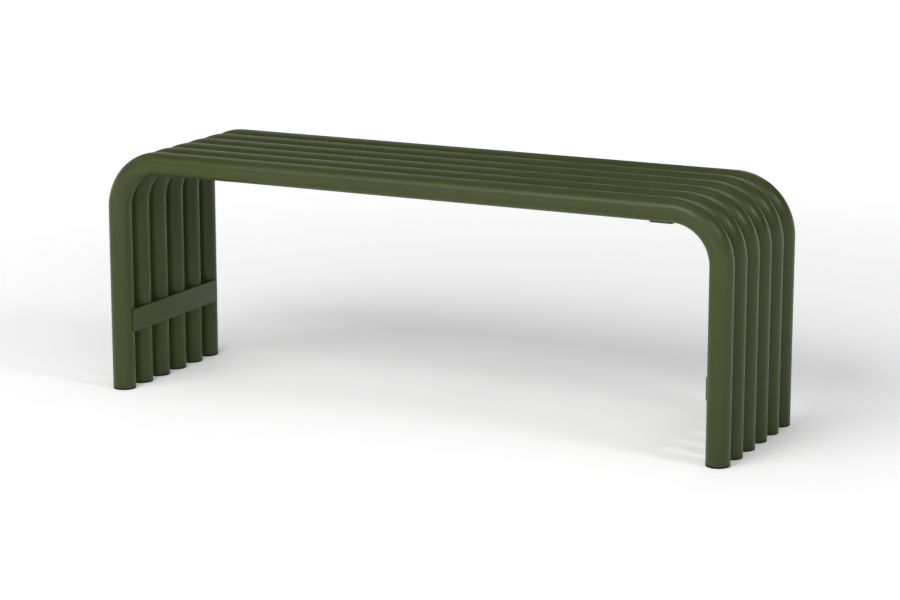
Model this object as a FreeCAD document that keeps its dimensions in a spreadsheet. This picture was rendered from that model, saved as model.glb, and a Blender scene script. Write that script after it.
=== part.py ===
"""Backless bench: six bent steel tubes side by side, four flat cross bars and twelve foot caps.

Frame: X along the bench, Y from the front tube to the rear tube, Z up, origin on the floor
below the middle of the seat. Millimetres throughout.
"""
import FreeCAD, Part
import math
import os

import Sketcher

doc = FreeCAD.newDocument("BacklessBench")

# Driving dimensions: alias, value, meaning.
SIZES = (
    ("bench_length", 1220, "overall length, outside of the left legs to outside of the right legs"),
    ("bench_depth", 336, "overall depth, front of the first tube to back of the last tube"),
    ("seat_height", 450, "top of the seat above the floor"),
    ("tube_count", 6, "bent tubes, side by side"),
    ("tube_diameter", 42.4, "outside diameter of the tube"),
    ("tube_wall", 2, "wall of the tube"),
    ("tube_end_bevel", 0.8, "bevel round the cut end of each leg"),
    ("bend_radius", 89, "radius of each bend, on the tube's centreline"),
    ("bar_width", 42, "width of the flat cross bars"),
    ("bar_thickness", 3, "thickness of the flat cross bars"),
    ("bar_overhang", 0.7, "how far a bar runs past the axis of the first and last tube"),
    ("bar_corner_radius", 4, "rounded corners of a bar, seen on its flat face"),
    ("bar_edge_radius", 0.5, "rounded rim of a bar's flat faces"),
    ("leg_bar_height", 130.2, "middle of a leg bar above the floor"),
    ("seat_bar_setback", 0.5, "from the start of a bend to the nearer edge of a seat bar"),
    ("weld_root", 3, "start of a weld bead, from the line where tube and bar touch"),
    ("weld_reach", 11, "end of a weld bead, from the line where tube and bar touch"),
    ("weld_face_radius", 2.4, "radius of a bead's bulging face"),
    ("weld_end_gap", 4, "from the end of a bead to the edge of its bar"),
    ("cap_head", 3.6, "thickness of a foot cap below the tube"),
    ("cap_edge_radius", 1.4, "rounded lower rim of a foot cap"),
    ("cap_plug_height", 16, "how far a foot cap's plug reaches up the tube"),
    ("cap_plug_wall", 1.8, "wall of the plug"),
    ("cap_plug_clearance", 0.6, "between the plug and the tube's bore"),
    ("cap_rib_height", 1.2, "height of one gripping rib on the plug"),
    ("cap_rib_spacing", 4, "from one gripping rib to the next"),
    ("cap_rib_count", 3, "gripping ribs on a plug"),
)

# Places that several pieces share, as formulas on the sheet.
TUBE_RADIUS = "Sizes.tube_diameter / 2"
BORE_RADIUS = "(Sizes.tube_diameter / 2 - Sizes.tube_wall)"
LEG_X = "(Sizes.bench_length - Sizes.tube_diameter) / 2"
SEAT_AXIS_Z = "(Sizes.seat_height - Sizes.tube_diameter / 2)"
PITCH = "(Sizes.bench_depth - Sizes.tube_diameter) / (Sizes.tube_count - 1)"
FIRST_TUBE_Y = "(Sizes.tube_diameter - Sizes.bench_depth) / 2"
INNER_LEG_X = "(Sizes.bench_length / 2 - Sizes.tube_diameter)"
SEAT_UNDERSIDE_Z = "(Sizes.seat_height - Sizes.tube_diameter)"
SEAT_BAR_X = f"({LEG_X} - Sizes.bend_radius - Sizes.seat_bar_setback - Sizes.bar_width / 2)"
PLUG_RADIUS = f"({BORE_RADIUS} - Sizes.cap_plug_clearance)"

# Two heights closer than this are the same height.
SAME_HEIGHT = 0.01

# Sketcher's words for a point of a piece of geometry, and for the sketch's own origin and axes.
START, END, CENTRE = 1, 2, 3
H_AXIS, V_AXIS = -1, -2
ORIGIN = (H_AXIS, START)


def make_sheet():
    sheet = doc.addObject("Spreadsheet::Sheet", "Sizes")
    for row, (alias, value, meaning) in enumerate(SIZES, start=1):
        sheet.set(f"A{row}", meaning)
        sheet.set(f"B{row}", str(value))
        sheet.setAlias(f"B{row}", alias)
    doc.recompute()
    return sheet


sheet = make_sheet()


def value_of(formula):
    """The present value of a formula on the sheet, in millimetres."""
    result = sheet.evalExpression(formula)
    return float(getattr(result, "Value", result))


def bind(thing, settings):
    """Bind properties of an object to formulas on the sheet."""
    for name, formula in settings.items():
        thing.setExpression(name, formula)


def origin_item(body, role):
    return next(item for item in body.Origin.OriginFeatures if item.Role == role)


def new_body(label):
    body = doc.addObject("PartDesign::Body", label)
    body.Label = label
    return body


def new_sketch(body, name, plane):
    sketch = body.newObject("Sketcher::SketchObject", name)
    sketch.AttachmentSupport = [(origin_item(body, plane), "")]
    sketch.MapMode = "FlatFace"
    return sketch


def new_feature(body, kind, name, profile, settings=None):
    """Add a feature made from a sketch, with its sizes bound to the sheet."""
    feature = body.newObject("PartDesign::" + kind, name)
    feature.Profile = profile
    bind(feature, settings or {})
    return feature


def place(body, placement, y="0"):
    """Turn a body about Y and bind its place to formulas."""
    turn, x, z = placement
    body.Placement = FreeCAD.Placement(FreeCAD.Vector(), FreeCAD.Rotation(FreeCAD.Vector(0, 1, 0), turn))
    bind(body, {"Placement.Base.x": x, "Placement.Base.y": y, "Placement.Base.z": z})


def join(sketch, *pairs):
    """Make pairs of points coincide."""
    for first, second in pairs:
        sketch.addConstraint(Sketcher.Constraint("Coincident", *first, *second))


def dimension(sketch, kind, name, formula, *where):
    """Add a named dimension that follows a formula on the sheet."""
    index = sketch.addConstraint(Sketcher.Constraint(kind, *where, value_of(formula)))
    sketch.renameConstraint(index, name)
    sketch.setExpression("Constraints." + name, formula)


def closed_outline(sketch, corners):
    """Draw straight lines from corner to corner and back to the first."""
    points = [FreeCAD.Vector(x, y, 0) for x, y in corners]
    following = points[1:] + points[:1]
    lines = [Part.LineSegment(a, b) for a, b in zip(points, following)]
    sketch.addGeometry(lines, False)
    count = len(lines)
    join(sketch, *(((k, END), ((k + 1) % count, START)) for k in range(count)))


def draw_hoop_path(sketch):
    """The centreline of a bent tube: up the left leg, along the seat and down the right leg."""
    leg_x, top = value_of(LEG_X), value_of(SEAT_AXIS_Z)
    radius, foot = sheet.bend_radius, sheet.cap_head
    bend_z, bend_x = top - radius, leg_x - radius
    quarter = math.pi / 2
    up = FreeCAD.Vector(0, 0, 1)

    def bend(x, first, last):
        return Part.ArcOfCircle(Part.Circle(FreeCAD.Vector(x, bend_z, 0), up, radius), first, last)

    def line(x1, z1, x2, z2):
        return Part.LineSegment(FreeCAD.Vector(x1, z1, 0), FreeCAD.Vector(x2, z2, 0))

    left_leg, left_bend, seat, right_bend, right_leg = range(5)
    sketch.addGeometry([
        line(-leg_x, foot, -leg_x, bend_z),
        bend(-bend_x, quarter, 2 * quarter),
        line(-bend_x, top, bend_x, top),
        bend(bend_x, 0, quarter),
        line(leg_x, bend_z, leg_x, foot),
    ], False)
    for one, one_end, other, other_end in (
        (left_leg, END, left_bend, END),
        (left_bend, START, seat, START),
        (seat, END, right_bend, END),
        (right_bend, START, right_leg, START),
    ):
        sketch.addConstraint(Sketcher.Constraint("Tangent", one, one_end, other, other_end))
    sketch.addConstraint(Sketcher.Constraint("Vertical", left_leg))
    sketch.addConstraint(Sketcher.Constraint("Horizontal", seat))
    sketch.addConstraint(Sketcher.Constraint("Vertical", right_leg))
    sketch.addConstraint(Sketcher.Constraint("Equal", left_bend, right_bend))
    sketch.addConstraint(Sketcher.Constraint("Symmetric", left_leg, START, right_leg, END, V_AXIS))
    dimension(sketch, "DistanceX", "leg_x", LEG_X, *ORIGIN, right_leg, END)
    dimension(sketch, "DistanceY", "foot_z", "Sizes.cap_head", *ORIGIN, right_leg, END)
    dimension(sketch, "DistanceY", "seat_z", SEAT_AXIS_Z, *ORIGIN, seat, START)
    dimension(sketch, "Radius", "bend", "Sizes.bend_radius", left_bend)


def draw_tube_section(sketch):
    """The tube's ring, at the foot of the left leg."""
    centre = FreeCAD.Vector(-value_of(LEG_X), 0, 0)
    up = FreeCAD.Vector(0, 0, 1)
    outside, bore = range(2)
    radii = (value_of(TUBE_RADIUS), value_of(BORE_RADIUS))
    sketch.addGeometry([Part.Circle(centre, up, radius) for radius in radii], False)
    join(sketch, ((outside, CENTRE), (bore, CENTRE)))
    sketch.addConstraint(Sketcher.Constraint("PointOnObject", outside, CENTRE, H_AXIS))
    dimension(sketch, "DistanceX", "leg_x", LEG_X, outside, CENTRE, *ORIGIN)
    dimension(sketch, "Radius", "outside", TUBE_RADIUS, outside)
    dimension(sketch, "Radius", "bore", BORE_RADIUS, bore)


def edges_where(feature, test):
    """Names of a feature's edges that pass a test."""
    doc.recompute()
    edges = enumerate(feature.Shape.Edges, start=1)
    return [f"Edge{number}" for number, edge in edges if test(edge)]


def make_bent_tube(label, index):
    """One bent tube: two legs and a seat rail in one piece, with bevelled leg ends."""
    body = new_body(label)
    path = new_sketch(body, "Centreline", "XZ_Plane")
    draw_hoop_path(path)
    section = new_sketch(body, "Ring", "XY_Plane")
    draw_tube_section(section)
    section.setExpression("AttachmentOffset.Base.z", "Sizes.cap_head")
    doc.recompute()
    tube = new_feature(body, "AdditivePipe", "Tube", section)
    tube.Spine = path

    def outer_rim(edge):
        at_end = abs(edge.BoundBox.ZMax - sheet.cap_head) < SAME_HEIGHT
        return at_end and edge.Curve.Radius > value_of(BORE_RADIUS) + sheet.tube_wall / 2

    bevel = body.newObject("PartDesign::Chamfer", "EndBevel")
    bevel.Base = (tube, edges_where(tube, outer_rim))
    bevel.setExpression("Size", "Sizes.tube_end_bevel")
    body.setExpression("Placement.Base.y", f"{FIRST_TUBE_Y} + {index} * {PITCH}")
    return body


def draw_bar_outline(sketch):
    """A rectangle about the origin: the bar's width along X and its length along Y."""
    width, length = "Sizes.bar_width", f"(Sizes.tube_count - 1) * {PITCH} + 2 * Sizes.bar_overhang"
    half_x, half_y = value_of(width) / 2, value_of(length) / 2
    closed_outline(sketch, ((-half_x, -half_y), (half_x, -half_y), (half_x, half_y), (-half_x, half_y)))
    front, right, rear, left = range(4)
    for side in (front, rear):
        sketch.addConstraint(Sketcher.Constraint("Horizontal", side))
    for side in (right, left):
        sketch.addConstraint(Sketcher.Constraint("Vertical", side))
    sketch.addConstraint(Sketcher.Constraint("Symmetric", front, START, right, END, *ORIGIN))
    dimension(sketch, "DistanceX", "width", width, front, START, front, END)
    dimension(sketch, "DistanceY", "length", length, right, START, right, END)


def make_bar(label, placement):
    """One flat cross bar. Its local +Z face touches the tubes."""
    body = new_body(label)
    outline = new_sketch(body, "Outline", "XY_Plane")
    draw_bar_outline(outline)
    strip = new_feature(body, "Pad", "Strip", outline, {"Length": "Sizes.bar_thickness"})
    strip.Reversed = True

    corners = body.newObject("PartDesign::Fillet", "Corners")
    corners.Base = (strip, edges_where(strip, lambda edge: edge.BoundBox.ZLength > sheet.bar_thickness / 2))
    corners.setExpression("Radius", "Sizes.bar_corner_radius")

    rim = body.newObject("PartDesign::Fillet", "Rim")
    rim.Base = (corners, edges_where(corners, lambda edge: edge.BoundBox.ZLength < sheet.bar_thickness / 2))
    rim.setExpression("Radius", "Sizes.bar_edge_radius")
    place(body, placement)
    return body


def draw_bead(sketch):
    """A weld bead's section in the groove behind a bar, on the tube at -Y of the middle of a gap.

    Sketch X is Y across the bar and sketch Y is towards the tubes. The section lies between the
    bar's face, the tube's round side and the bead's own bulging face.
    """
    tube_y, radius = -value_of(PITCH) / 2, value_of(TUBE_RADIUS)
    root_y, reach_y = tube_y + sheet.weld_root, tube_y + sheet.weld_reach
    root_z = radius - (radius ** 2 - sheet.weld_root ** 2) ** 0.5
    reach_z = radius - (radius ** 2 - sheet.weld_reach ** 2) ** 0.5
    middle_z = reach_z / 2
    face_radius = sheet.weld_face_radius
    face_y = reach_y - (face_radius ** 2 - middle_z ** 2) ** 0.5
    on_bar = (FreeCAD.Vector(root_y, 0, 0), FreeCAD.Vector(reach_y, 0, 0))
    on_tube = (FreeCAD.Vector(root_y, root_z, 0), FreeCAD.Vector(reach_y, reach_z, 0))
    waist_y = (root_y + reach_y) / 2
    waist_z = radius - (radius ** 2 - (waist_y - tube_y) ** 2) ** 0.5

    bar_side, face, tube_side, root = range(4)
    sketch.addGeometry([
        Part.LineSegment(*on_bar),
        Part.Arc(on_bar[1], FreeCAD.Vector(face_y + face_radius, middle_z, 0), on_tube[1]),
        Part.Arc(on_tube[0], FreeCAD.Vector(waist_y, waist_z, 0), on_tube[1]),
        Part.LineSegment(on_tube[0], on_bar[0]),
    ], False)
    join(sketch,
         ((bar_side, END), (face, START)),
         ((face, END), (tube_side, END)),
         ((tube_side, START), (root, START)),
         ((root, END), (bar_side, START)))
    sketch.addConstraint(Sketcher.Constraint("PointOnObject", bar_side, START, H_AXIS))
    sketch.addConstraint(Sketcher.Constraint("PointOnObject", bar_side, END, H_AXIS))
    sketch.addConstraint(Sketcher.Constraint("Vertical", root))
    sketch.addConstraint(Sketcher.Constraint("Vertical", face, START, face, END))
    dimension(sketch, "DistanceX", "tube_y", f"{PITCH} / 2", tube_side, CENTRE, *ORIGIN)
    dimension(sketch, "DistanceY", "tube_z", TUBE_RADIUS, *ORIGIN, tube_side, CENTRE)
    dimension(sketch, "Radius", "tube", TUBE_RADIUS, tube_side)
    dimension(sketch, "DistanceX", "root", "Sizes.weld_root", tube_side, CENTRE, bar_side, START)
    dimension(sketch, "DistanceX", "reach", "Sizes.weld_reach", tube_side, CENTRE, bar_side, END)
    dimension(sketch, "Radius", "bulge", "Sizes.weld_face_radius", face)


def make_welds(label, placement):
    """The beads that hold one bar: two in each gap between tubes, one against each tube."""
    body = new_body(label)
    body.AllowCompound = True
    section = new_sketch(body, "BeadSection", "YZ_Plane")
    draw_bead(section)
    length = "Sizes.bar_width - 2 * Sizes.weld_end_gap"
    bead = new_feature(body, "Pad", "Bead", section, {"Length": length})
    bead.Midplane = True

    across_gap = body.newObject("PartDesign::Mirrored", "AcrossGap")
    across_gap.MirrorPlane = (origin_item(body, "XZ_Plane"), [""])
    gap_by_gap = body.newObject("PartDesign::LinearPattern", "GapByGap")
    gap_by_gap.Direction = (origin_item(body, "Y_Axis"), [""])
    gap_by_gap.Mode = "Spacing"
    bind(gap_by_gap, {"Offset": PITCH, "Occurrences": "Sizes.tube_count - 1"})
    row = body.newObject("PartDesign::MultiTransform", "Row")
    row.Originals = [bead]
    row.Transformations = [across_gap, gap_by_gap]
    body.Tip = row
    place(body, placement, f"{FIRST_TUBE_Y} + {PITCH} / 2")
    return body


def draw_cap_profile(sketch):
    """Half of a foot cap's section: sketch X is the distance from its axis and Y is up."""
    head, plug_top = "Sizes.cap_head", "Sizes.cap_head + Sizes.cap_plug_height"
    hollow_radius = f"{PLUG_RADIUS} - Sizes.cap_plug_wall"
    rim, plug, hollow = (value_of(radius) for radius in (TUBE_RADIUS, PLUG_RADIUS, hollow_radius))
    head_z, top_z = value_of(head), value_of(plug_top)
    closed_outline(sketch, (
        (0, 0), (rim, 0), (rim, head_z), (plug, head_z),
        (plug, top_z), (hollow, top_z), (hollow, head_z), (0, head_z),
    ))
    base, side, shoulder, plug_side, lip, hollow_side, floor, axis = range(8)
    for level in (base, shoulder, lip, floor):
        sketch.addConstraint(Sketcher.Constraint("Horizontal", level))
    for upright in (side, plug_side, hollow_side, axis):
        sketch.addConstraint(Sketcher.Constraint("Vertical", upright))
    join(sketch, ((base, START), ORIGIN))
    sketch.addConstraint(Sketcher.Constraint("Horizontal", shoulder, START, floor, END))
    dimension(sketch, "DistanceX", "rim", TUBE_RADIUS, *ORIGIN, side, END)
    dimension(sketch, "DistanceX", "plug", PLUG_RADIUS, *ORIGIN, plug_side, END)
    dimension(sketch, "DistanceX", "hollow", hollow_radius, *ORIGIN, hollow_side, START)
    dimension(sketch, "DistanceY", "head", head, *ORIGIN, side, END)
    dimension(sketch, "DistanceY", "top", plug_top, *ORIGIN, plug_side, END)


def draw_rib_profile(sketch):
    """Half of a gripping rib's section: a triangle from inside the plug's wall to the tube's bore."""
    middle_z = "Sizes.cap_head + Sizes.cap_rib_spacing"
    inside_radius = f"{PLUG_RADIUS} - Sizes.cap_plug_wall / 2"
    inner, outer = value_of(inside_radius), value_of(BORE_RADIUS)
    middle, half = value_of(middle_z), sheet.cap_rib_height / 2
    closed_outline(sketch, ((inner, middle - half), (outer, middle), (inner, middle + half)))
    lower, upper, back = range(3)
    sketch.addConstraint(Sketcher.Constraint("Vertical", back))
    sketch.addConstraint(Sketcher.Constraint("Equal", lower, upper))
    dimension(sketch, "DistanceX", "inner", inside_radius, *ORIGIN, back, END)
    dimension(sketch, "DistanceX", "bore", BORE_RADIUS, *ORIGIN, lower, END)
    dimension(sketch, "DistanceY", "middle", middle_z, *ORIGIN, lower, END)
    dimension(sketch, "DistanceY", "height", "Sizes.cap_rib_height", back, END, back, START)


def turn_about_axis(body, name, profile):
    """Revolve a half-section once round the body's Z axis."""
    solid = new_feature(body, "Revolution", name, profile)
    solid.ReferenceAxis = (origin_item(body, "Z_Axis"), [""])
    return solid


def make_foot_cap(label, leg_x, index):
    """A moulded cap: a flat head under the leg and a hollow ribbed plug inside it."""
    body = new_body(label)
    profile = new_sketch(body, "HalfSection", "XZ_Plane")
    draw_cap_profile(profile)
    doc.recompute()
    moulding = turn_about_axis(body, "Moulding", profile)

    def lower_rim(edge):
        box = edge.BoundBox
        return box.ZMax < sheet.cap_head / 2 and box.XLength > value_of(BORE_RADIUS)

    rounded = body.newObject("PartDesign::Fillet", "LowerRim")
    rounded.Base = (moulding, edges_where(moulding, lower_rim))
    rounded.setExpression("Radius", "Sizes.cap_edge_radius")

    rib_profile = new_sketch(body, "RibSection", "XZ_Plane")
    draw_rib_profile(rib_profile)
    doc.recompute()
    rib = turn_about_axis(body, "Rib", rib_profile)
    ribs = body.newObject("PartDesign::LinearPattern", "Ribs")
    ribs.Originals = [rib]
    ribs.Direction = (origin_item(body, "Z_Axis"), [""])
    ribs.Mode = "Spacing"
    bind(ribs, {"Offset": "Sizes.cap_rib_spacing", "Occurrences": "Sizes.cap_rib_count"})
    body.Tip = ribs
    bind(body, {"Placement.Base.x": leg_x, "Placement.Base.y": f"{FIRST_TUBE_Y} + {index} * {PITCH}"})
    return body


# A bar's own +Z points at the tubes it is welded to: outwards on the legs, straight up under the seat.
BAR_PLACES = {
    "leg_bar_left": (-90, "-" + INNER_LEG_X, "Sizes.leg_bar_height"),
    "leg_bar_right": (90, INNER_LEG_X, "Sizes.leg_bar_height"),
    "seat_bar_left": (0, "-" + SEAT_BAR_X, SEAT_UNDERSIDE_Z),
    "seat_bar_right": (0, SEAT_BAR_X, SEAT_UNDERSIDE_Z),
}


def make_bench():
    """Every piece of the bench, each in a body of its own."""
    pieces = []
    for index in range(int(sheet.tube_count)):
        number = index + 1
        pieces.append(make_bent_tube(f"bent_tube_{number}", index))
        pieces.append(make_foot_cap(f"foot_cap_left_{number}", "-" + LEG_X, index))
        pieces.append(make_foot_cap(f"foot_cap_right_{number}", LEG_X, index))
    for label, placement in BAR_PLACES.items():
        pieces.append(make_bar(label, placement))
        pieces.append(make_welds(label + "_welds", placement))
    doc.recompute()
    return pieces


def check_document(pieces):
    """Stop if any object failed to build or any piece has no valid solid."""
    failed = [item.Name for item in doc.Objects if {"Invalid", "Error"} & set(item.State)]
    if failed:
        raise RuntimeError("failed to build: " + ", ".join(failed))
    for piece in pieces:
        shape = piece.Shape
        if shape.isNull() or not shape.isValid() or not shape.Solids:
            raise RuntimeError("no valid solid in " + piece.Label)


def write_parts(pieces):
    os.makedirs("parts", exist_ok=True)
    for piece in pieces:
        piece.Shape.exportStep(f"parts/{piece.Label}.step")
        print(f"{piece.Label}: {len(piece.Shape.Solids)} solids, {piece.Shape.Volume:.0f} mm3")


bench = make_bench()
check_document(bench)
write_parts(bench)
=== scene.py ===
from math import cos, pi, radians, sin, sqrt

import bmesh
import bpy
from bpy.props import FloatProperty, FloatVectorProperty, IntProperty, PointerProperty
from mathutils import Matrix, Vector


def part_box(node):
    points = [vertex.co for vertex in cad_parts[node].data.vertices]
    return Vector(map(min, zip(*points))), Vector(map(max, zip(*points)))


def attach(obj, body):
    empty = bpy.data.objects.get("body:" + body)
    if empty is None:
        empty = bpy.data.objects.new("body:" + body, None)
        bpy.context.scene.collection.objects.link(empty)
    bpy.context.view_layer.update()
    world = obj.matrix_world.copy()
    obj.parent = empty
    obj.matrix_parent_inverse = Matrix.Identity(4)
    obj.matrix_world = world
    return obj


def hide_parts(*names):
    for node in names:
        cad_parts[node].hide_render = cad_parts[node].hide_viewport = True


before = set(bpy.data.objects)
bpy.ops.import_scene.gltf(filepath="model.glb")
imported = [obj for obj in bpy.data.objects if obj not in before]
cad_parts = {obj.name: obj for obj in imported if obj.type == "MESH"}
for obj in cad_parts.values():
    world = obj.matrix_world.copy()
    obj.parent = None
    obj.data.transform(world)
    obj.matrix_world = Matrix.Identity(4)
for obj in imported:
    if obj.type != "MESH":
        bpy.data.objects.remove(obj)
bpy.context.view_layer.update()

bl_info = {
    "name": "Bent tube bench",
    "version": (1, 0, 0),
    "blender": (4, 5, 0),
    "location": "View3D > Sidebar > Bench",
    "description": "Builds a backless bench of bent steel tubes round its packed frame",
    "category": "Object",
}

# The whole bench rides on the frame's one body.
BODY = "root"
MM = 0.001

# Points closer than this are merged, and places closer than this count as the same.
MERGE_DISTANCE = 0.001 * MM
SAME_PLACE = 0.01 * MM
# An edge that turns by more than this is shaded sharp.
SHARP_ANGLE = radians(40)
# Most of a noise texture's values lie between these two.
NOISE_LOW = 0.3
NOISE_HIGH = 0.7

TUBES = sorted(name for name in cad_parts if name.startswith("bent_tube"))
CAPS = sorted(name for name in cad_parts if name.startswith("foot_cap"))
WELDS = sorted(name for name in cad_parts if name.endswith("_welds"))
BARS = [name.removesuffix("_welds") for name in WELDS]


# ---------------------------------------------------------------- settings


def length(name, description, default):
    return FloatProperty(name=name, description=description, default=default, min=0.0,
                         precision=5, unit="LENGTH", subtype="DISTANCE")


def colour(name, description, default):
    return FloatVectorProperty(name=name, description=description, default=default,
                               size=3, min=0.0, max=1.0, subtype="COLOR")


def share(name, description, default):
    return FloatProperty(name=name, description=description, default=default,
                         min=0.0, max=1.0, precision=3, subtype="FACTOR")


def count(name, description, default, fewest=1):
    return IntProperty(name=name, description=description, default=default, min=fewest)


class BenchTubeSettings(bpy.types.PropertyGroup):
    bend_radius: length("Bend radius", "Radius of each bend on the tube's centreline", 89 * MM)
    wall: length("Wall", "Thickness of the tube's wall", 2 * MM)
    end_bevel: length("End bevel", "Bevel round the cut end of each leg", 0.8 * MM)
    sides: count("Sides", "Faces round the tube", 96, fewest=12)
    bend_steps: count("Bend steps", "Faces along one bend", 36)
    bevel_steps: count("Bevel steps", "Faces across the end bevel", 3)


class BenchBarSettings(bpy.types.PropertyGroup):
    corner_radius: length("Corner radius", "Rounded corners seen on the flat face", 4 * MM)
    edge_radius: length("Edge radius", "Rounded rim of the flat faces", 0.5 * MM)
    corner_steps: count("Corner steps", "Faces round one corner", 8)
    edge_steps: count("Edge steps", "Faces across the rounded rim", 3)


class BenchWeldSettings(bpy.types.PropertyGroup):
    root: length("Root", "From the line where tube and bar touch to the bead's root", 3 * MM)
    reach: length("Reach", "From the line where tube and bar touch to the bead's face", 11 * MM)
    face_radius: length("Face radius", "Radius of the bead's bulging face", 2.4 * MM)
    ripple: length("Ripple", "From one ripple to the next along a bead", 1.3 * MM)
    ripple_height: share("Ripple height", "Height of a ripple, as a share of the bead's size", 0.07)
    ripple_steps: count("Ripple steps", "Faces along one ripple", 4)
    end_size: share("End size", "Size of a bead's two ends, as a share of its full size", 0.3)
    sides: count("Sides", "Faces round a bead", 20, fewest=6)


class BenchCapSettings(bpy.types.PropertyGroup):
    head: length("Head", "Thickness of a cap below the tube", 3.6 * MM)
    edge_radius: length("Edge radius", "Rounded lower rim", 1.4 * MM)
    plug_clearance: length("Plug clearance", "Between the plug and the tube's bore", 0.6 * MM)
    plug_wall: length("Plug wall", "Wall of the hollow plug", 1.8 * MM)
    rib_height: length("Rib height", "Height of one gripping rib", 1.2 * MM)
    rib_spacing: length("Rib spacing", "From one gripping rib to the next", 4 * MM)
    ribs: count("Ribs", "Gripping ribs on the plug", 3, fewest=0)
    gate: length("Gate", "Radius of the sunk spot in the middle of the underside", 2.2 * MM)
    grooves: count("Grooves", "Rings moulded into the underside", 3, fewest=0)
    groove_width: length("Groove width", "Width of a ring's floor and one slope", 1.2 * MM)
    groove_depth: length("Groove depth", "Depth of the rings and the gate", 0.35 * MM)
    first_groove: share("First groove", "Radius of the inner ring, as a share of the cap's", 0.34)
    groove_spacing: share("Groove spacing", "From ring to ring, as a share of the cap's radius", 0.17)
    sides: count("Sides", "Faces round the cap", 72, fewest=12)
    edge_steps: count("Edge steps", "Faces across the rounded lower rim", 6)


class BenchPaintSettings(bpy.types.PropertyGroup):
    base: colour("Paint", "Olive powder coat", (0.0395, 0.0500, 0.0130))
    tone_change: share("Tone change", "How far the coat drifts lighter and darker", 0.06)
    tone_size: length("Tone size", "Width of the lighter and darker areas", 160 * MM)
    roughness: share("Roughness", "Average roughness of the coat", 0.33)
    gloss: share("Gloss", "Specular level of the coat", 0.2)
    roughness_change: share("Roughness change", "How far the roughness drifts", 0.04)
    roughness_size: length("Roughness size", "Width of the rougher and smoother areas", 50 * MM)
    peel_size: length("Orange peel", "Width of one orange-peel dimple", 2.6 * MM)
    peel_depth: length("Peel depth", "Depth of the orange peel", 0.02 * MM)
    grain_size: length("Grain", "Width of the coat's finest grain", 0.5 * MM)
    grain_depth: length("Grain depth", "Depth of the finest grain", 0.006 * MM)


class BenchPlasticSettings(bpy.types.PropertyGroup):
    base: colour("Plastic", "Matt black polyethylene", (0.006, 0.006, 0.0065))
    scuff: colour("Scuff", "Where the plastic has rubbed on the ground", (0.03, 0.029, 0.027))
    scuff_height: length("Scuff height", "From the ground to where the rubbing ends", 2 * MM)
    scuff_size: length("Scuff size", "Width of one rubbed spot", 3 * MM)
    scuff_low: share("Scuff low", "Value of the noise where rubbing starts to show", 0.5)
    scuff_high: share("Scuff high", "Value of the noise where rubbing is full", 0.65)
    roughness: share("Roughness", "Average roughness of the plastic", 0.55)
    roughness_change: share("Roughness change", "How far the roughness drifts", 0.06)
    roughness_size: length("Roughness size", "Width of the rougher and smoother areas", 10 * MM)
    gloss: share("Gloss", "Specular level of the plastic", 0.3)
    grain_size: length("Grain", "Width of the mould's spark-eroded grain", 0.45 * MM)
    grain_depth: length("Grain depth", "Depth of that grain", 0.03 * MM)


class BenchStageSettings(bpy.types.PropertyGroup):
    azimuth: FloatProperty(name="Azimuth", description="Camera's turn to the right of the bench's front",
                           default=radians(26.535), subtype="ANGLE")
    tilt: FloatProperty(name="Tilt", description="How far the camera looks down",
                        default=radians(12.633), subtype="ANGLE")
    distance: length("Distance", "Camera to the point that it looks at", 4.9974)
    aim_right: FloatProperty(name="Aim right", description="Aim point to the right of the bench's middle",
                             default=0.0139, unit="LENGTH")
    aim_height: length("Aim height", "Aim point above the floor", 0.1978)
    focal_length: FloatProperty(name="Focal length", description="Camera's focal length on 36 mm",
                                default=111.257, unit="CAMERA")
    floor_radius: length("Floor radius", "Radius of the round floor", 30.0)
    floor_sides: count("Floor sides", "Sides of the round floor", 96, fewest=12)
    wall_height: length("Wall height", "Height of the wall round the floor", 5.0)
    floor_white: share("Floor white", "Reflectance of the floor", 0.95)
    floor_roughness: share("Floor roughness", "Roughness of the floor", 0.9)
    floor_gloss: share("Floor gloss", "Specular level of the floor", 0.1)
    near_glow: share("Near glow", "Light given off by the floor round the bench", 0.15)
    far_glow: share("Far glow", "Light given off by the floor further out", 0.88)
    glow_start: length("Glow start", "From the bench to where the glow starts to grow", 0.8)
    glow_end: length("Glow end", "From the bench to where the glow is full", 4.0)
    sky: FloatProperty(name="Sky", description="Strength of the even light from all round", default=0.03)
    softbox_distance: length("Softbox distance", "From a softbox to the bench", 4.0)
    softbox_aim: length("Softbox aim", "Height that the softboxes point at", 0.25)


SENSOR_WIDTH = 36

# Round softboxes: name, azimuth and elevation in degrees, width in metres, power in watts.
SOFTBOXES = (
    ("front_softbox", 0, 38, 2.0, 80),
    ("front_left_softbox", -30, 38, 2.0, 38),
    ("front_right_softbox", 40, 36, 2.0, 20),
    ("right_softbox", 76, 38, 0.9, 32),
    ("left_softbox", -90, 30, 2.0, 10),
    ("overhead_softbox", 0, 90, 2.0, 14),
    ("rear_softbox", 180, 38, 2.0, 13),
    ("rear_left_softbox", -135, 38, 2.0, 10),
)

SETTINGS = {
    "bench_tubes": BenchTubeSettings,
    "bench_bars": BenchBarSettings,
    "bench_welds": BenchWeldSettings,
    "bench_caps": BenchCapSettings,
    "bench_paint": BenchPaintSettings,
    "bench_plastic": BenchPlasticSettings,
    "bench_stage": BenchStageSettings,
}


# ---------------------------------------------------------------- shader expressions


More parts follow.
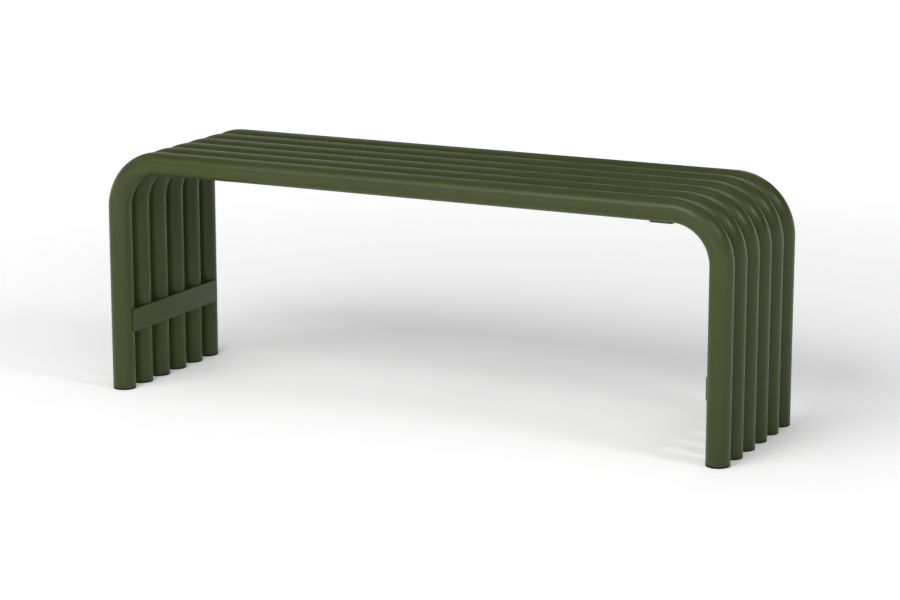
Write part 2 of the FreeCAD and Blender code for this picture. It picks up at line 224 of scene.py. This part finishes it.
class Wire:
    """A socket that can be used in arithmetic. Each operation adds a Math node."""

    def __init__(self, finish, socket):
        self.finish = finish
        self.socket = socket

    def maths(self, operation, *values):
        return self.finish.node("ShaderNodeMath", {"operation": operation}, *values)

    def __add__(self, other):
        return self.maths("ADD", self, other)

    def __radd__(self, other):
        return self.maths("ADD", other, self)

    def __sub__(self, other):
        return self.maths("SUBTRACT", self, other)

    def __rsub__(self, other):
        return self.maths("SUBTRACT", other, self)

    def __mul__(self, other):
        return self.maths("MULTIPLY", self, other)

    def __rmul__(self, other):
        return self.maths("MULTIPLY", other, self)


class Finish:
    """A node material in the making."""

    def __init__(self, name):
        self.material = bpy.data.materials.new(name)
        self.material.use_nodes = True
        self.tree = self.material.node_tree
        self.tree.nodes.clear()
        self.shader = self.tree.nodes.new("ShaderNodeBsdfPrincipled")
        output = self.tree.nodes.new("ShaderNodeOutputMaterial")
        self.tree.links.new(self.shader.outputs["BSDF"], output.inputs["Surface"])
        self.place = self.node("ShaderNodeTexCoord", {}, output="Object")

    def feed(self, socket, value):
        """Link a wire to a socket, or set the socket to a plain value."""
        if isinstance(value, Wire):
            self.tree.links.new(value.socket, socket)
        else:
            socket.default_value = value

    def node(self, kind, settings, *values, output=0, **named):
        """Add a node: its settings first, then its sockets in order or by name."""
        made = self.tree.nodes.new(kind)
        for name, value in settings.items():
            setattr(made, name, value)
        for socket, value in zip(made.inputs, values):
            self.feed(socket, value)
        for name, value in named.items():
            self.feed(made.inputs[name.replace("_", " ")], value)
        return Wire(self, made.outputs[output])

    def noise(self, size, detail=2.0, roughness=0.5):
        """Soft noise whose blobs are about size across, in metres."""
        return self.node("ShaderNodeTexNoise", {}, Vector=self.place, Scale=1.0 / size,
                         Detail=detail, Roughness=roughness)

    def band(self, value, low, high, first=0.0, last=1.0):
        """A value moved from the range low to high into first to last, and held at its ends."""
        return self.node("ShaderNodeMapRange", {"clamp": True}, value, low, high, first, last)

    def blend(self, factor, first, second):
        """A colour between two others."""
        made = self.tree.nodes.new("ShaderNodeMix")
        made.data_type = "RGBA"
        for name, value in (("Factor_Float", factor), ("A_Color", first), ("B_Color", second)):
            self.feed(next(item for item in made.inputs if item.identifier == name), value)
        return Wire(self, next(item for item in made.outputs if item.identifier == "Result_Color"))

    def bump(self, height, depth, normal=None):
        """A bump map: height from 0 to 1 stands for depth in metres."""
        inputs = {"Height": height, "Distance": depth, "Strength": 1.0}
        if normal is not None:
            inputs["Normal"] = normal
        return self.node("ShaderNodeBump", {}, **inputs)

    def shade(self, **inputs):
        """Set or link the shader's own sockets."""
        for name, value in inputs.items():
            self.feed(self.shader.inputs[name.replace("_", " ")], value)
        return self.material


def scaled(rgb, factor):
    """A colour made lighter or darker, with full alpha."""
    return (*(channel * factor for channel in rgb), 1.0)


def powder_coat(paint):
    """Satin powder coat: slow drifts of tone and sheen, orange peel and a fine grain."""
    finish = Finish("olive_powder_coat")
    drift = finish.band(finish.noise(paint.tone_size, 3.0), NOISE_LOW, NOISE_HIGH)
    tone = finish.blend(drift, scaled(paint.base, 1 - paint.tone_change),
                        scaled(paint.base, 1 + paint.tone_change))
    sheen = finish.band(finish.noise(paint.roughness_size, 4.0), NOISE_LOW, NOISE_HIGH,
                        -paint.roughness_change, paint.roughness_change)
    peel = finish.bump(finish.noise(paint.peel_size, 1.0), paint.peel_depth)
    grain = finish.bump(finish.noise(paint.grain_size, 2.0), paint.grain_depth, peel)
    return finish.shade(Base_Color=tone, Roughness=sheen + paint.roughness, Normal=grain,
                        Specular_IOR_Level=paint.gloss)


def black_plastic(plastic):
    """Matt moulded polyethylene with a spark-eroded grain, rubbed lighter near the ground."""
    finish = Finish("foot_cap_polyethylene")
    height = finish.node("ShaderNodeSeparateXYZ", {}, finish.place, output="Z")
    low_down = 1.0 - finish.band(height, 0.0, plastic.scuff_height)
    spots = finish.noise(plastic.scuff_size, 4.0, 0.7)
    rubbed = low_down * finish.band(spots, plastic.scuff_low, plastic.scuff_high)
    tone = finish.blend(rubbed, scaled(plastic.base, 1.0), scaled(plastic.scuff, 1.0))
    patchy = finish.band(finish.noise(plastic.roughness_size, 3.0), NOISE_LOW, NOISE_HIGH,
                         -plastic.roughness_change, plastic.roughness_change)
    grain = finish.bump(finish.noise(plastic.grain_size, 2.0), plastic.grain_depth)
    return finish.shade(Base_Color=tone, Roughness=patchy + plastic.roughness, Normal=grain,
                        Specular_IOR_Level=plastic.gloss)


def once(name, make, settings):
    """The material of that name, made the first time it is asked for."""
    return bpy.data.materials.get(name) or make(settings)


def paint_of(scene):
    return once("olive_powder_coat", powder_coat, scene.bench_paint)


# ---------------------------------------------------------------- mesh helpers


def finish_piece(bm, name, node, material):
    """Turn a bmesh into a smooth-shaded piece that stands for a node of the frame."""
    bmesh.ops.remove_doubles(bm, verts=bm.verts, dist=MERGE_DISTANCE)
    bmesh.ops.recalc_face_normals(bm, faces=bm.faces)
    mesh = bpy.data.meshes.new(name)
    bm.to_mesh(mesh)
    bm.free()
    mesh.shade_smooth()
    mesh.set_sharp_from_angle(angle=SHARP_ANGLE)
    mesh.materials.append(material)
    piece = bpy.data.objects.new(name, mesh)
    bpy.context.scene.collection.objects.link(piece)
    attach(piece, BODY)
    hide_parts(node)


def middle(low, high):
    return (low + high) / 2


def edges_of(result, key="geom"):
    return [item for item in result[key] if isinstance(item, bmesh.types.BMEdge)]


def verts_of(result, key="geom"):
    return [item for item in result[key] if isinstance(item, bmesh.types.BMVert)]


def extend(bm, edges, move):
    """Extrude open edges by a straight move and return the new ends."""
    grown = bmesh.ops.extrude_edge_only(bm, edges=edges)
    bmesh.ops.translate(bm, verts=verts_of(grown), vec=move)
    return [edge for edge in edges_of(grown) if edge.is_boundary]


def sweep(bm, edges, centre, steps):
    """Extrude open edges a quarter turn about a bend's axis, which lies along Y."""
    turned = bmesh.ops.spin(bm, geom=edges, cent=centre, axis=(0, 1, 0), dvec=(0, 0, 0), angle=pi / 2,
                            steps=steps, use_merge=False, use_duplicate=False)
    return edges_of(turned, "geom_last")


def round_edges(bm, edges, radius, segments):
    bmesh.ops.bevel(bm, geom=edges, offset=radius, offset_type="OFFSET", affect="EDGES",
                    segments=segments, profile=0.5, material=-1)


# ---------------------------------------------------------------- pieces


def tube_mesh(node, settings):
    """A bent tube with a real wall: up the left leg, along the seat and down the right leg."""
    low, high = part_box(node)
    radius = (high.y - low.y) / 2
    y = middle(low.y, high.y)
    leg_x = high.x - radius
    bend_x = leg_x - settings.bend_radius
    bend_z = high.z - radius - settings.bend_radius
    leg = Vector((0, 0, bend_z - low.z))

    bm = bmesh.new()
    foot = Matrix.Translation((-leg_x, y, low.z))
    for ring in (radius, radius - settings.wall):
        bmesh.ops.create_circle(bm, cap_ends=False, segments=settings.sides, radius=ring, matrix=foot)
    left_foot = list(bm.edges)
    ends = extend(bm, left_foot, leg)
    ends = sweep(bm, ends, (-bend_x, y, bend_z), settings.bend_steps)
    ends = extend(bm, ends, Vector((2 * bend_x, 0, 0)))
    ends = sweep(bm, ends, (bend_x, y, bend_z), settings.bend_steps)
    right_foot = extend(bm, ends, -leg)
    for loops in (left_foot, right_foot):
        bmesh.ops.bridge_loops(bm, edges=loops)

    def outer_foot_edge(edge):
        centre_x = leg_x if edge.verts[0].co.x > 0 else -leg_x
        centre = Vector((centre_x, y, low.z))
        return all((vert.co - centre).length > radius - settings.wall / 2 and
                   abs(vert.co.z - low.z) < SAME_PLACE for vert in edge.verts)

    rims = [edge for edge in left_foot + right_foot if outer_foot_edge(edge)]
    round_edges(bm, rims, settings.end_bevel, settings.bevel_steps)
    return bm


def bar_mesh(node, settings):
    """A flat bar with rounded corners and softly rounded rims."""
    low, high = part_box(node)
    size = high - low
    thin = min(range(3), key=lambda axis: size[axis])
    bm = bmesh.new()
    place = Matrix.Translation(middle(low, high)) @ Matrix.Diagonal((*size, 1))
    bmesh.ops.create_cube(bm, size=1, matrix=place)

    def through(edge):
        return abs((edge.verts[1].co - edge.verts[0].co)[thin]) > size[thin] / 2

    corners = [edge for edge in bm.edges if through(edge)]
    round_edges(bm, corners, settings.corner_radius, settings.corner_steps)
    rims = [edge for edge in bm.edges if not through(edge)]
    round_edges(bm, rims, settings.edge_radius, settings.edge_steps)
    return bm


def bead_mesh(run, settings, tube_radius):
    """One rippled bead along Z, filling the groove from its root out to a bulging face.

    The bar's face is the plane X = 0, and the tube touches it along the line Y = 0.
    """
    def groove(y):
        """Width of the gap between bar and tube, y away from where they touch."""
        return tube_radius - sqrt(tube_radius ** 2 - y ** 2)

    half_gap = groove(settings.reach) / 2
    radius = settings.face_radius
    face_centre = settings.reach - sqrt(radius ** 2 - half_gap ** 2)
    bm = bmesh.new()
    first = bmesh.ops.create_circle(bm, cap_ends=True, segments=settings.sides, radius=radius)
    bmesh.ops.translate(bm, verts=first["verts"], vec=(half_gap, face_centre, 0))
    for vert in first["verts"]:
        if vert.co.y < face_centre:
            inward = (face_centre - vert.co.y) / radius
            vert.co.y = face_centre - inward * (face_centre - settings.root)
            vert.co.x = groove(vert.co.y) / 2 + (vert.co.x - half_gap) * (1 - inward / 2)
    steps = round(run / settings.ripple * settings.ripple_steps)
    ring = list(bm.edges)
    rings = [first["verts"]]
    for _ in range(steps):
        grown = bmesh.ops.extrude_edge_only(bm, edges=ring)
        bmesh.ops.translate(bm, verts=verts_of(grown), vec=(0, 0, run / steps))
        ring = [edge for edge in edges_of(grown) if edge.is_boundary]
        rings.append(verts_of(grown))
    bmesh.ops.contextual_create(bm, geom=ring)
    for number, verts in enumerate(rings):
        way = number / steps * run
        from_end = min(way, run - way, radius) / radius
        dome = sqrt(1 - (1 - from_end) ** 2)
        ripple = 1 + settings.ripple_height * cos(2 * pi * way / settings.ripple)
        size = max(dome, settings.end_size) * ripple
        bmesh.ops.scale(bm, verts=verts, vec=(size, size, 1),
                        space=Matrix.Translation((-half_gap, -face_centre, 0)))
    return bm


def weld_mesh(node, settings):
    """The beads of one bar: in each groove between the bar's back face and a tube."""
    low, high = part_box(node)
    bar_low, bar_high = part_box(node.removesuffix("_welds"))
    size = bar_high - bar_low
    thin = min(range(3), key=lambda axis: size[axis])
    long_way = 2 if thin == 0 else 0
    outward = 1 if middle(low, high)[thin] > middle(bar_low, bar_high)[thin] else -1
    touch = (bar_high if outward > 0 else bar_low)[thin]
    tube_low, tube_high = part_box(TUBES[0])
    run = (high - low)[long_way]
    pattern = bpy.data.meshes.new(node + "_bead")
    bead = bead_mesh(run, settings, (tube_high.y - tube_low.y) / 2)
    bead.to_mesh(pattern)
    bead.free()

    centres = [middle(*(corner.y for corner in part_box(tube))) for tube in TUBES]
    bm = bmesh.new()
    for y in centres:
        for side in (-1, 1):
            if not min(centres) < y + side * settings.reach < max(centres):
                continue
            columns = [Vector((0, 0, 0)), Vector((0, side, 0)), Vector((0, 0, 0))]
            columns[0][thin] = outward
            columns[2][long_way] = 1
            turn = Matrix(columns).transposed().to_4x4()
            start = Vector((0, y, 0))
            start[thin] = touch
            start[long_way] = low[long_way]
            old = set(bm.verts)
            bm.from_mesh(pattern)
            new = [vert for vert in bm.verts if vert not in old]
            bmesh.ops.transform(bm, matrix=Matrix.Translation(start) @ turn, verts=new)
    bpy.data.meshes.remove(pattern)
    return bm


def cap_outline(radius, height, bore, settings):
    """Half of a foot cap's section, from the underside's middle round to the floor of its plug."""
    depth = settings.groove_depth
    points = [(0, depth), (settings.gate, depth), (settings.gate + depth, 0)]
    for ring in range(settings.grooves):
        inner = radius * (settings.first_groove + settings.groove_spacing * ring)
        outer = inner + settings.groove_width
        points += [(inner, 0), (inner + depth, depth), (outer, depth), (outer + depth, 0)]
    plug = bore - settings.plug_clearance
    points += [(radius, 0), (radius, settings.head), (plug, settings.head)]
    for rib in range(settings.ribs):
        z = settings.head + settings.rib_spacing * (rib + 1)
        points += [(plug, z - settings.rib_height / 2), (bore, z), (plug, z + settings.rib_height / 2)]
    hollow = plug - settings.plug_wall
    points += [(plug, height), (hollow, height), (hollow, settings.head), (0, settings.head)]
    return points


def cap_mesh(node, settings, wall):
    """A moulded cap, turned from its half-section."""
    low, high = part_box(node)
    centre = middle(low, high)
    radius = (high.x - low.x) / 2
    bm = bmesh.new()
    outline = cap_outline(radius, high.z - low.z, radius - wall, settings)
    verts = [bm.verts.new((centre.x + x, centre.y, low.z + z)) for x, z in outline]
    edges = [bm.edges.new(pair) for pair in zip(verts, verts[1:])]
    bmesh.ops.spin(bm, geom=edges, cent=(centre.x, centre.y, 0), axis=(0, 0, 1), dvec=(0, 0, 0),
                   angle=2 * pi, steps=settings.sides, use_merge=True, use_duplicate=False)
    bmesh.ops.remove_doubles(bm, verts=bm.verts, dist=MERGE_DISTANCE)

    def lower_rim(edge):
        return all(abs(vert.co.z - low.z) < SAME_PLACE and
                   (vert.co.xy - centre.xy).length > radius - SAME_PLACE for vert in edge.verts)

    rim = [edge for edge in bm.edges if lower_rim(edge)]
    round_edges(bm, rim, settings.edge_radius, settings.edge_steps)
    return bm


# ---------------------------------------------------------------- stage


def make_floor(settings):
    """A white floor with a low wall round it. Both give off light, and more of it further out."""
    finish = Finish("pale_floor")
    white = settings.floor_white
    from_middle = finish.node("ShaderNodeVectorMath", {"operation": "LENGTH"}, finish.place,
                              output="Value")
    glow = finish.band(from_middle, settings.glow_start, settings.glow_end,
                       settings.near_glow, settings.far_glow)
    material = finish.shade(Base_Color=(white, white, white, 1.0), Roughness=settings.floor_roughness,
                            Specular_IOR_Level=settings.floor_gloss,
                            Emission_Color=glow, Emission_Strength=1.0)
    bm = bmesh.new()
    bmesh.ops.create_circle(bm, cap_ends=True, segments=settings.floor_sides, radius=settings.floor_radius)
    extend(bm, list(bm.edges), (0, 0, settings.wall_height))
    mesh = bpy.data.meshes.new("floor")
    bm.to_mesh(mesh)
    bm.free()
    mesh.materials.append(material)
    floor = bpy.data.objects.new("floor", mesh)
    bpy.context.scene.collection.objects.link(floor)


def make_sky(settings):
    world = bpy.data.worlds.new("studio")
    world.use_nodes = True
    background = world.node_tree.nodes["Background"]
    background.inputs["Color"].default_value = (1, 1, 1, 1)
    background.inputs["Strength"].default_value = settings.sky
    bpy.context.scene.world = world


def towards(azimuth, elevation):
    """The direction from the bench at an azimuth, to the right of its front, and an elevation."""
    level = cos(elevation)
    return Vector((sin(azimuth) * level, -cos(azimuth) * level, sin(elevation)))


def aim(thing, place, target):
    """Put a lamp or camera at a place, facing the target."""
    thing.location = place
    thing.rotation_euler = (Vector(target) - Vector(place)).to_track_quat("-Z", "Y").to_euler()


def make_softbox(name, azimuth, elevation, width, power, settings):
    """A round softbox that faces the bench. Azimuth 0 is in front of it, and 90 at its right end."""
    light = bpy.data.lights.new(name, "AREA")
    light.shape = "DISK"
    light.size = width
    light.energy = power
    lamp = bpy.data.objects.new(name, light)
    bpy.context.scene.collection.objects.link(lamp)
    target = Vector((0, 0, settings.softbox_aim))
    direction = towards(radians(azimuth), radians(elevation))
    aim(lamp, target + direction * settings.softbox_distance, target)


def make_camera(settings):
    """A camera to the right of the bench's front, looking slightly down."""
    data = bpy.data.cameras.new("camera")
    data.lens = settings.focal_length
    data.sensor_width = SENSOR_WIDTH
    camera = bpy.data.objects.new("camera", data)
    bpy.context.scene.collection.objects.link(camera)
    target = Vector((settings.aim_right, 0, settings.aim_height))
    aim(camera, target + towards(settings.azimuth, settings.tilt) * settings.distance, target)
    bpy.context.scene.camera = camera


# ---------------------------------------------------------------- operators


class BENCH_OT_tubes(bpy.types.Operator):
    """Build the bent tubes, each with a real wall and bevelled ends"""
    bl_idname = "bench.tubes"
    bl_label = "Bent tubes"

    def execute(self, context):
        settings = context.scene.bench_tubes
        for number, node in enumerate(TUBES, start=1):
            bm = tube_mesh(node, settings)
            finish_piece(bm, f"painted_tube_{number}", node, paint_of(context.scene))
        return {"FINISHED"}


class BENCH_OT_bars(bpy.types.Operator):
    """Build the flat bars that tie the tubes together"""
    bl_idname = "bench.bars"
    bl_label = "Flat bars"

    def execute(self, context):
        for node in BARS:
            bm = bar_mesh(node, context.scene.bench_bars)
            finish_piece(bm, "painted_" + node, node, paint_of(context.scene))
        return {"FINISHED"}


class BENCH_OT_welds(bpy.types.Operator):
    """Build the rippled weld beads behind the bars"""
    bl_idname = "bench.welds"
    bl_label = "Weld beads"

    def execute(self, context):
        for node in WELDS:
            bm = weld_mesh(node, context.scene.bench_welds)
            finish_piece(bm, "rippled_" + node, node, paint_of(context.scene))
        return {"FINISHED"}


class BENCH_OT_foot_caps(bpy.types.Operator):
    """Build the moulded foot caps with their ribbed plugs"""
    bl_idname = "bench.foot_caps"
    bl_label = "Foot caps"

    def execute(self, context):
        scene = context.scene
        plastic = once("foot_cap_polyethylene", black_plastic, scene.bench_plastic)
        for node in CAPS:
            bm = cap_mesh(node, scene.bench_caps, scene.bench_tubes.wall)
            finish_piece(bm, "moulded_" + node, node, plastic)
        return {"FINISHED"}


class BENCH_OT_stage(bpy.types.Operator):
    """Set up the floor, the light and the camera"""
    bl_idname = "bench.stage"
    bl_label = "Stage"

    def execute(self, context):
        settings = context.scene.bench_stage
        make_floor(settings)
        make_sky(settings)
        for name, azimuth, elevation, width, power in SOFTBOXES:
            make_softbox(name, azimuth, elevation, width, power, settings)
        make_camera(settings)
        context.scene.view_settings.view_transform = "Standard"
        return {"FINISHED"}


class BENCH_PT_panel(bpy.types.Panel):
    """Lists the bench's pieces and their sizes"""
    bl_label = "Bench"
    bl_idname = "BENCH_PT_panel"
    bl_space_type = "VIEW_3D"
    bl_region_type = "UI"
    bl_category = "Bench"

    def draw(self, context):
        for operator in OPERATORS:
            self.layout.operator(operator.bl_idname)
        for name, group in SETTINGS.items():
            box = self.layout.box()
            box.label(text=group.__name__)
            for setting in group.__annotations__:
                box.prop(getattr(context.scene, name), setting)


OPERATORS = (BENCH_OT_stage, BENCH_OT_tubes, BENCH_OT_bars, BENCH_OT_welds, BENCH_OT_foot_caps)
CLASSES = (*SETTINGS.values(), *OPERATORS, BENCH_PT_panel)


def register():
    for item in CLASSES:
        bpy.utils.register_class(item)
    for name, group in SETTINGS.items():
        setattr(bpy.types.Scene, name, PointerProperty(type=group))


def unregister():
    for name in SETTINGS:
        delattr(bpy.types.Scene, name)
    for item in reversed(CLASSES):
        bpy.utils.unregister_class(item)


def main():
    register()
    bpy.ops.bench.stage()
    bpy.ops.bench.tubes()
    bpy.ops.bench.bars()
    bpy.ops.bench.welds()
    bpy.ops.bench.foot_caps()


if __name__ == "__main__":
    main()
